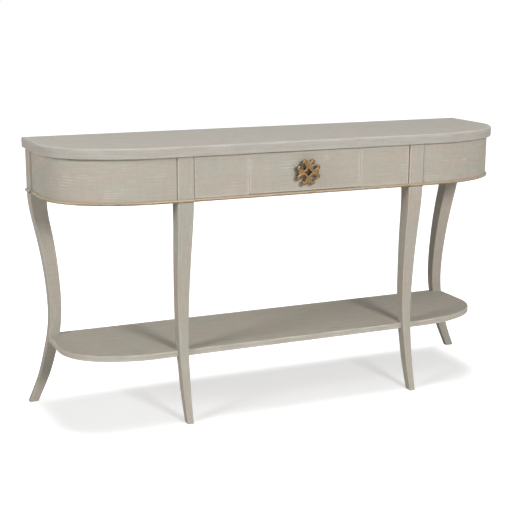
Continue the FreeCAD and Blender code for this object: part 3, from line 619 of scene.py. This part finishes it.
# sabre legs: from the floor up, how much of the waist's inset, of the toe's flare and of the post's girth
sabre = {
    "level": (0.0, 0.125, 0.22, 0.34, 0.45, 0.57, 0.69, 0.81, 0.92, 1.0),
    "inset": (0.0, 0.475, 0.715, 0.945, 1.0, 0.9, 0.69, 0.385, 0.09, 0.0),
    "flare": (1.0, 0.525, 0.285, 0.055, 0.0, 0.0, 0.0, 0.0, 0.0, 0.0),
    "girth": (0.0, 0.15, 0.27, 0.34, 0.41, 0.5, 0.63, 0.78, 0.89, 1.0),
    "toe": 0.0225,
    "footGirth": 0.0285,
    "footBreadth": 0.0195,
    "edgeRound": 0.0022,
    "rimRound": 0.0015,          # round the underside of the foot
    "rimRows": (0.0, 0.3, 1.0),
    "legStart": 0.006,
    "legRows": 90,
    "postRows": 7,
    "postTop": topLow.z,
    "postLow": apronPlan["low"],
    "rubbed": (0.3, 0.7),        # wear on the edges of the leg and of the post above it
}
frontLeg = {"waist": 0.0325, "girth": 0.0505, "breadth": 0.050, "farShare": 0.5}
backLeg = {"waist": 0.050, "girth": 0.050, "breadth": 0.0505, "farShare": 0.07}


# faces of a leg at each height: inner and outer face from the curves, near and far side from a straight taper
def legFaces(leg, height, look=sabre):
    knots = np.array(look["level"]) * look["postLow"]
    outer = look["toe"] * np.array(look["flare"]) - leg["waist"] * np.array(look["inset"])
    inner = outer - look["footGirth"] - (leg["girth"] - look["footGirth"]) * np.array(look["girth"])
    below = np.minimum(height, look["postLow"])
    faces = [fairCurve(knots, line, below, (line[1] - line[0]) / knots[1], 0.0) for line in (inner, outer)]
    spare = (leg["breadth"] - look["footBreadth"]) * (1 - below / look["postLow"])
    near = spare * (1 - leg["farShare"]) - leg["breadth"] / 2
    far = leg["breadth"] / 2 - spare * leg["farShare"]
    return *faces, near, far


# a leg as rings up its height: the eased rectangle between its faces, tucked in round the foot's rim by
# the rim's radius less the circle's half chord at that height
def legGrid(leg, look=sabre):
    rim = look["rimRound"]
    height = np.concatenate([rim * np.array(look["rimRows"]),
                             np.linspace(look["legStart"], look["postLow"], look["legRows"]),
                             np.linspace(look["postLow"], look["postTop"], look["postRows"])[1:]])
    inner, outer, near, far = legFaces(leg, height)
    tuck = rim - np.sqrt(np.maximum(rim ** 2 - np.maximum(rim - height, 0) ** 2, 0))
    ring, wear = easedRing(np.stack([inner + tuck, near + tuck], -1),
                           np.stack([outer - tuck, far - tuck], -1), look["edgeRound"])
    girth = runLength(np.concatenate([ring[-1], ring[-1, :1]]))
    around = np.stack(np.meshgrid(height, girth, indexing="ij"), axis=-1)
    wear = np.where(height < look["postLow"], *look["rubbed"])[:, None] * wear
    return ring, np.broadcast_to(height[:, None], ring.shape[:2]), around, wear


for side, sign in sides.items():
    ring, height, around, wear = legGrid(frontLeg)
    grid = np.stack([postX + ring[..., 1], postFace - ring[..., 0], height], axis=-1)
    fitPiece(f"sabre_front_{side}", skin(mirrored(grid, sign), around, wear),
             "wash", "painted_wood", "table", f"front_leg_{side}")
    ring, height, around, wear = legGrid(backLeg)
    grid = np.stack([endFace + ring[..., 0], backPostY + ring[..., 1], height], axis=-1)
    fitPiece(f"sabre_back_{side}", skin(mirrored(grid, sign), around, wear),
             "wash", "painted_wood", "table", f"back_leg_{side}")
print("legs fitted")

# shelf, let in round the legs at its own height
shelfLow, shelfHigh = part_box("shelf")
shelf = {
    "offset": shelfHigh.x - apronPlan["end"],
    "edgeRound": 0.002,
    "reach": (0.0012, 0.004),
    "fade": 0.005,
    "letIn": 0.0003,             # room left round a leg
}
middle, letIn = np.array([(shelfLow.z + shelfHigh.z) / 2]), shelf["letIn"]
inner, _, near, far = (part[0] for part in legFaces(frontLeg, middle))
frontNotch = ((postX + near - letIn, postX + far + letIn), postFace - inner + letIn)
inner, _, near, _ = (part[0] for part in legFaces(backLeg, middle))
backNotch = (endFace + inner - letIn, backPostY + near - letIn)
profile, wear = boardEdge(shelfLow.z, shelfHigh.z, shelf["edgeRound"], shelf["edgeRound"],
                          shelf["reach"], shelf["fade"])
outlines = dEnded(shelf["offset"], shelfHigh.y, profile, frontNotch, backNotch)
fitPiece("shelf_board", board(outlines, profile, wear), "wash", "painted_wood", "table", "shelf")

# fronts: the drawer's face, and a fixed panel at either side of it
fronts = {
    "drawerRound": 0.0015,
    "panelRound": 0.0012,
    "drawerSpread": 0.0008,      # the drawer's face nearly closes the gap beside it
    "reach": (0.0012, 0.004, 0.01, 0.024),
    "fade": 0.003,
    "steps": 8,
}


# board seen from the front: at each row the unit square's ring times the half size less the inset
def frontBoard(low, high, edgeRound, look=fronts):
    share = np.linspace(-1, 1, look["steps"], endpoint=False)
    one = np.ones(len(share))
    runs = ((share, -one), (one, share), (-share, one), (-one, -share))
    unit = np.concatenate([np.stack(run, axis=-1) for run in runs])
    profile, wear = boardEdge(low.y, high.y, edgeRound, edgeRound, look["reach"], look["fade"])
    profile[:, 1] = low.y + high.y - profile[:, 1]
    centre = np.array([low.x + high.x, low.z + high.z]) / 2
    half = np.array([high.x - low.x, high.z - low.z]) / 2
    return board(centre + unit * (half - profile[:, None, :1]), profile, wear, (0, 2, 1))


drawerLow, drawerHigh = (corner.copy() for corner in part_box("drawer_front"))
drawerLow.x -= fronts["drawerSpread"]
drawerHigh.x += fronts["drawerSpread"]
fitPiece("drawer_face", frontBoard(drawerLow, drawerHigh, fronts["drawerRound"]),
         "wash", "painted_wood", "drawer", "drawer_front")
for side, sign in sides.items():
    low, high = (corner.copy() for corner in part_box(f"front_panel_{side}"))
    if sign > 0:
        high.x = postInner - apronPlan["shadowGap"]
    else:
        low.x = apronPlan["shadowGap"] - postInner
    fitPiece(f"panel_{side}", frontBoard(low, high, fronts["panelRound"]),
             "wash", "painted_wood", "table", f"front_panel_{side}")
print("top, shelf and fronts fitted")

# knob: four open scrolls back to back and four arms, cast in one
knobLow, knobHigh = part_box("knob")
knobMiddle = (knobLow + knobHigh) / 2
knob = {
    "spread": 0.0165,            # a scroll's middle lies this far out on both axes
    "backRadius": 0.0124,
    "tipRadius": 0.0142,
    "backHalf": 0.0044,
    "tipHalf": 0.0090,           # the tips swell into curls
    "swell": 5,                  # how late they do
    "mouth": math.radians(58),
    "scrollSteps": 61,
    "armStart": 0.0175,
    "armEnd": 0.0274,
    "armHalf": 0.0074,
    "armSteps": 12,
    "depth": 0.0045,
    "armDepth": 0.9,             # share of the scrolls' depth
    "eye": (0.36, 0.0028, 0.0026),      # dent in each curl: share of the way inwards, radius, depth
    # how much each curl's eye is darkened: painted shade
    "eyePaintedShade": 0.9,
    "patinaAndShadeFrom": 0.25,              # share of the depth behind the middle from which the brass darkens towards the back: patina and painted shade on the sides
    "voxel": 0.00045,
    "softenSteps": 4,
}


# round bar along a path in x and z, with ball ends: at each row the path moves on by the cap's sine and
# the section shrinks by its cosine; the section is an ellipse with its sine and cosine raised to powers
# under one, which squares it off, more in depth than across
def ballEndedBar(path, half, depth, middle, ballSteps=7, roundSteps=20, squared=(0.75, 0.5)):
    tangent = np.gradient(path, axis=0)
    tangent /= np.linalg.norm(tangent, axis=1)[:, None]
    cap = np.concatenate([np.linspace(-math.pi / 2, 0, ballSteps)[:-1], np.zeros(len(path)),
                          np.linspace(0, math.pi / 2, ballSteps)[1:]])
    cap = np.clip(cap, -1.5, 1.5)    # the lids keep a small size
    row = np.clip(np.arange(len(cap)) - ballSteps + 1, 0, len(path) - 1)
    centre = path[row] + tangent[row] * (half[row] * np.sin(cap))[:, None]
    sideways = np.stack([-tangent[row, 1], tangent[row, 0]], axis=-1)
    angle = np.linspace(0, 2 * math.pi, roundSteps, endpoint=False)
    across = np.sign(np.cos(angle)) * np.abs(np.cos(angle)) ** squared[0]
    deep = np.sign(np.sin(angle)) * np.abs(np.sin(angle)) ** squared[1]
    breadth = sideways[:, None] * (half[row] * np.cos(cap))[:, None, None]
    plane = centre[:, None] + breadth * across[None, :, None]
    grid = np.empty((len(row), roundSteps, 3))
    grid[..., 0], grid[..., 2] = plane[..., 0] + middle[0], plane[..., 1] + middle[2]
    grid[..., 1] = middle[1] - depth * np.sqrt(np.cos(cap))[:, None] * deep
    return grid


# a scroll's path is a circle about its middle that opens outwards and widens towards its tips
angle = np.linspace(knob["mouth"], 2 * math.pi - knob["mouth"], knob["scrollSteps"]) + math.pi / 4
toTip = np.abs(np.linspace(-1, 1, knob["scrollSteps"])) ** knob["swell"]
radius = knob["backRadius"] + (knob["tipRadius"] - knob["backRadius"]) * toTip
scroll = knob["spread"] + radius[:, None] * np.stack([np.cos(angle), np.sin(angle)], -1)
scrollHalf = knob["backHalf"] + (knob["tipHalf"] - knob["backHalf"]) * toTip
armRun = np.linspace(knob["armStart"], knob["armEnd"], knob["armSteps"])
arm = np.stack([armRun, np.zeros(knob["armSteps"])], -1)
armHalf = np.full(knob["armSteps"], knob["armHalf"])
bars = []
for quarter in range(4):
    spin = np.linalg.matrix_power(np.array([[0, 1], [-1, 0]]), quarter)
    bars.append(ballEndedBar(scroll @ spin, scrollHalf, knob["depth"], knobMiddle))
    bars.append(ballEndedBar(arm @ spin, armHalf, knob["depth"] * knob["armDepth"], knobMiddle))
faces, start = [], 0
for bar in bars:
    quads, lids, turn = shell(bar)
    faces += (quads.reshape(-1, 4)[:, ::turn] + start).tolist()
    faces += [(lid[::turn] + start).tolist() for lid in lids]
    start += bar.shape[0] * bar.shape[1]
blank = bpy.data.meshes.new("knob_blank")
blank.from_pydata(np.concatenate([bar.reshape(-1, 3) for bar in bars]), [], faces)

# the bars melt into one skin, as a casting's do
casting = bpy.data.objects.new("casting", blank)
scene.collection.objects.link(casting)
remesh = casting.modifiers.new("cast", "REMESH")
remesh.mode = "VOXEL"
remesh.voxel_size = knob["voxel"]
remesh.use_smooth_shade = True
soften = casting.modifiers.new("soften", "SMOOTH")
soften.factor = 0.5
soften.iterations = knob["softenSteps"]
bpy.context.view_layer.update()
knobMesh = bpy.data.meshes.new_from_object(casting.evaluated_get(bpy.context.evaluated_depsgraph_get()))
bpy.data.objects.remove(casting)

# the eye of each curl: the front sinks by the depth times a bell over the distance from the eye
spots = np.empty(len(knobMesh.vertices) * 3)
knobMesh.vertices.foreach_get("co", spots)
behind = knobMiddle.y + knob["patinaAndShadeFrom"] * knob["depth"]
rise = np.clip((behind - spots[1::3]) / ((1 + knob["patinaAndShadeFrom"]) * knob["depth"]), 0, 1)
across, up = np.abs(spots[0::3] - knobMiddle.x), np.abs(spots[2::3] - knobMiddle.z)
eyeShare, eyeRadius, eyeDepth = knob["eye"]
eye = scroll[0] + eyeShare * (knob["spread"] - scroll[0])
away = np.minimum(np.hypot(across - eye[0], up - eye[1]), np.hypot(across - eye[1], up - eye[0]))
bell = np.exp(-(away / eyeRadius) ** 2) * rise
spots[1::3] += eyeDepth * bell
knobMesh.vertices.foreach_set("co", spots)
# darker towards the back of the casting, which is patina and painted shade on its sides, and darker in each
# curl's eye, which is painted shade
crest = (rise * (1 - knob["eyePaintedShade"] * bell)).astype(np.float32)
knobMesh.attributes.new("wear", "FLOAT", "POINT").data.foreach_set("value", crest)
knobMesh.materials.clear()
fitPiece("knob_casting", knobMesh, "brass", "antique_brass", "drawer", "knob")
print("knob cast,", len(knobMesh.polygons), "faces")

# the CAD nodes that stay in sight or inside
nodeFinishes = {
    "washAcross": ["back_apron", "bottom_rail"],
    "poplarAcross": ["top_rail", "drawer_box_front", "drawer_back", "drawer_stop", "rail_dowels",
                     "shelf_dowels", "top_block_back_left", "top_block_back_right"],
    "poplarDeep": ["drawer_runner_left", "drawer_runner_right", "drawer_guide_left", "drawer_guide_right",
                   "drawer_kicker_left", "drawer_kicker_right", "drawer_side_left", "drawer_side_right",
                   "drawer_bottom", "top_block_end_left", "top_block_end_right"],
    "stem": ["knob_stem"],
    "zinc": ["top_screws", "runner_screws", "drawer_front_screws", "knob_screw"],
}
for finish, names in nodeFinishes.items():
    for name in names:
        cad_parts[name].data.materials.clear()
        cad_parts[name].data.materials.append(finishes[finish])
print("CAD nodes finished,", sum(len(names) for names in nodeFinishes.values()))

# studio: white paper floor with a painted shadow under the table, white surround, soft lamps in front, at the
# left and overhead, a weak one behind
studio = {
    "surround": (0.02, 0.38),    # light from the left and from the right
    "surroundTurn": (-0.6, 0.9),    # how far sideways a ray points when it meets each of those
    "white": "#FFFFFF",
    "floor": "#C4C4C4",
    "floorReach": 30,
    "paintedShadowGlow": 0.505,           # the paper's glow inside the painted shadow under the table, where the real shadows also show
    "middle": (-0.03, 0.1),
    "oblong": (0.755, 0.32),     # half length and half depth of the painted shadow's outline, with round corners
    "corner": 0.17,
    "back": 0.19,                # where the outline is cut off straight
    "fade": 0.065,               # how far to either side of the outline the paper turns white
    "aim": (0, 0, 0.45),
    "lamps": {                   # place, watts and size
        "front": ((0.5, -3.8, 2.3), 94, 0.9),
        "left": ((-3.9, -1.2, 2.3), 74, 1.2),
        "above": ((0.6, 0.0, 8.0), 218, 1.6),
        "behind": ((-0.9, 3.6, 1.3), 14, 1.2),
    },
}


# one for the rays that see the white background: the camera's, and those off gloss or through glass
def whiteRays(tree):
    rays = put(tree, "LightPath")
    bounced = put(tree, "Math", {"operation": "MAXIMUM"},
                  {0: rays.outputs["Is Glossy Ray"], 1: rays.outputs["Is Transmission Ray"]})
    seen = put(tree, "Math", {"operation": "MAXIMUM"},
               {0: bounced.outputs[0], 1: rays.outputs["Is Camera Ray"]})
    return seen.outputs[0]


world = bpy.data.worlds.new("white studio")
scene.world = world
world.use_nodes = True
tree = world.node_tree
tree.nodes.clear()
direction = put(tree, "SeparateXYZ", None, {"Vector": put(tree, "TexCoord").outputs["Generated"]})
soft = put(tree, "MapRange", {"From Min": studio["surroundTurn"][0], "From Max": studio["surroundTurn"][1],
                              "To Min": studio["surround"][0], "To Max": studio["surround"][1]},
           {"Value": direction.outputs["X"]})
level = put(tree, "Math", {"operation": "MAXIMUM"}, {0: soft.outputs["Result"], 1: whiteRays(tree)})
sky = put(tree, "Background", {"Color": linear(studio["white"])}, {"Strength": level.outputs[0]})
put(tree, "OutputWorld", None, {"Surface": sky.outputs["Background"]})

reach = studio["floorReach"]
floorMesh = bpy.data.meshes.new("studio_floor")
floorMesh.from_pydata([(-reach, -reach, 0), (reach, -reach, 0), (reach, reach, 0), (-reach, reach, 0)],
                      [], [(0, 1, 2, 3)])
floor = bpy.data.objects.new("studio_floor", floorMesh)
scene.collection.objects.link(floor)
paper, tree = newMaterial("paper backdrop, matt white")
# painted shadow: inside an oblong under the table the paper glows less. Distance from the oblong that lies
# one corner radius inside the outline
core = [half - studio["corner"] for half in studio["oblong"]]
place = put(tree, "TexCoord").outputs["Object"]
offset = put(tree, "VectorMath", {"operation": "SUBTRACT", 1: (*studio["middle"], 0)}, {0: place})
folded = put(tree, "VectorMath", {"operation": "ABSOLUTE"}, {0: offset.outputs["Vector"]})
past = put(tree, "VectorMath", {"operation": "SUBTRACT", 1: (*core, 0)}, {0: folded.outputs["Vector"]})
outside = put(tree, "VectorMath", {"operation": "MAXIMUM"}, {0: past.outputs["Vector"]})
away = put(tree, "VectorMath", {"operation": "LENGTH"}, {0: outside.outputs["Vector"]})
depth = put(tree, "SeparateXYZ", None, {"Vector": place})
whites = []
for edge, distance in ((studio["corner"], away.outputs["Value"]), (studio["back"], depth.outputs["Y"])):
    band = {"interpolation_type": "SMOOTHSTEP", "From Min": edge - studio["fade"],
            "From Max": edge + studio["fade"], "To Min": studio["paintedShadowGlow"]}
    whites.append(put(tree, "MapRange", band, {"Value": distance}).outputs["Result"])
white = put(tree, "Math", {"operation": "MAXIMUM"}, {0: whites[0], 1: whites[1]})
strength = put(tree, "Math", {"operation": "MULTIPLY"}, {0: white.outputs[0], 1: whiteRays(tree)})
matt = put(tree, "BsdfDiffuse", {"Color": linear(studio["floor"])})
glow = put(tree, "Emission", {"Color": linear(studio["white"])}, {"Strength": strength.outputs[0]})
both = put(tree, "AddShader", None, {0: matt.outputs["BSDF"], 1: glow.outputs["Emission"]})
put(tree, "OutputMaterial", None, {"Surface": both.outputs["Shader"]})
floorMesh.materials.append(paper)

for name, (place, power, size) in studio["lamps"].items():
    lamp = bpy.data.lights.new(name, "AREA")
    lamp.energy, lamp.size = power, size
    holder = bpy.data.objects.new(name, lamp)
    scene.collection.objects.link(holder)
    facing = (Vector(studio["aim"]) - Vector(place)).to_track_quat("-Z", "Y")
    holder.matrix_world = Matrix.Translation(place) @ facing.to_matrix().to_4x4()
print("studio lit")

# camera where the photograph was taken from; its turns are in degrees
view = {
    "place": (-1.501627, -3.236148, 1.251891),
    "yaw": 23.661,
    "down": 12.801,
    "roll": 0.197,
    "lens": 79.78,
}
camera = bpy.data.objects.new("camera", bpy.data.cameras.new("camera"))
scene.collection.objects.link(camera)
camera.data.lens = view["lens"]
turns = ((-view["yaw"], "Z"), (90 - view["down"], "X"), (view["roll"], "Z"))
yaw, pitch, roll = (Matrix.Rotation(math.radians(angle), 4, axis) for angle, axis in turns)
camera.matrix_world = Matrix.Translation(view["place"]) @ (yaw @ pitch @ roll)
scene.camera = camera
scene.view_settings.view_transform = "Standard"
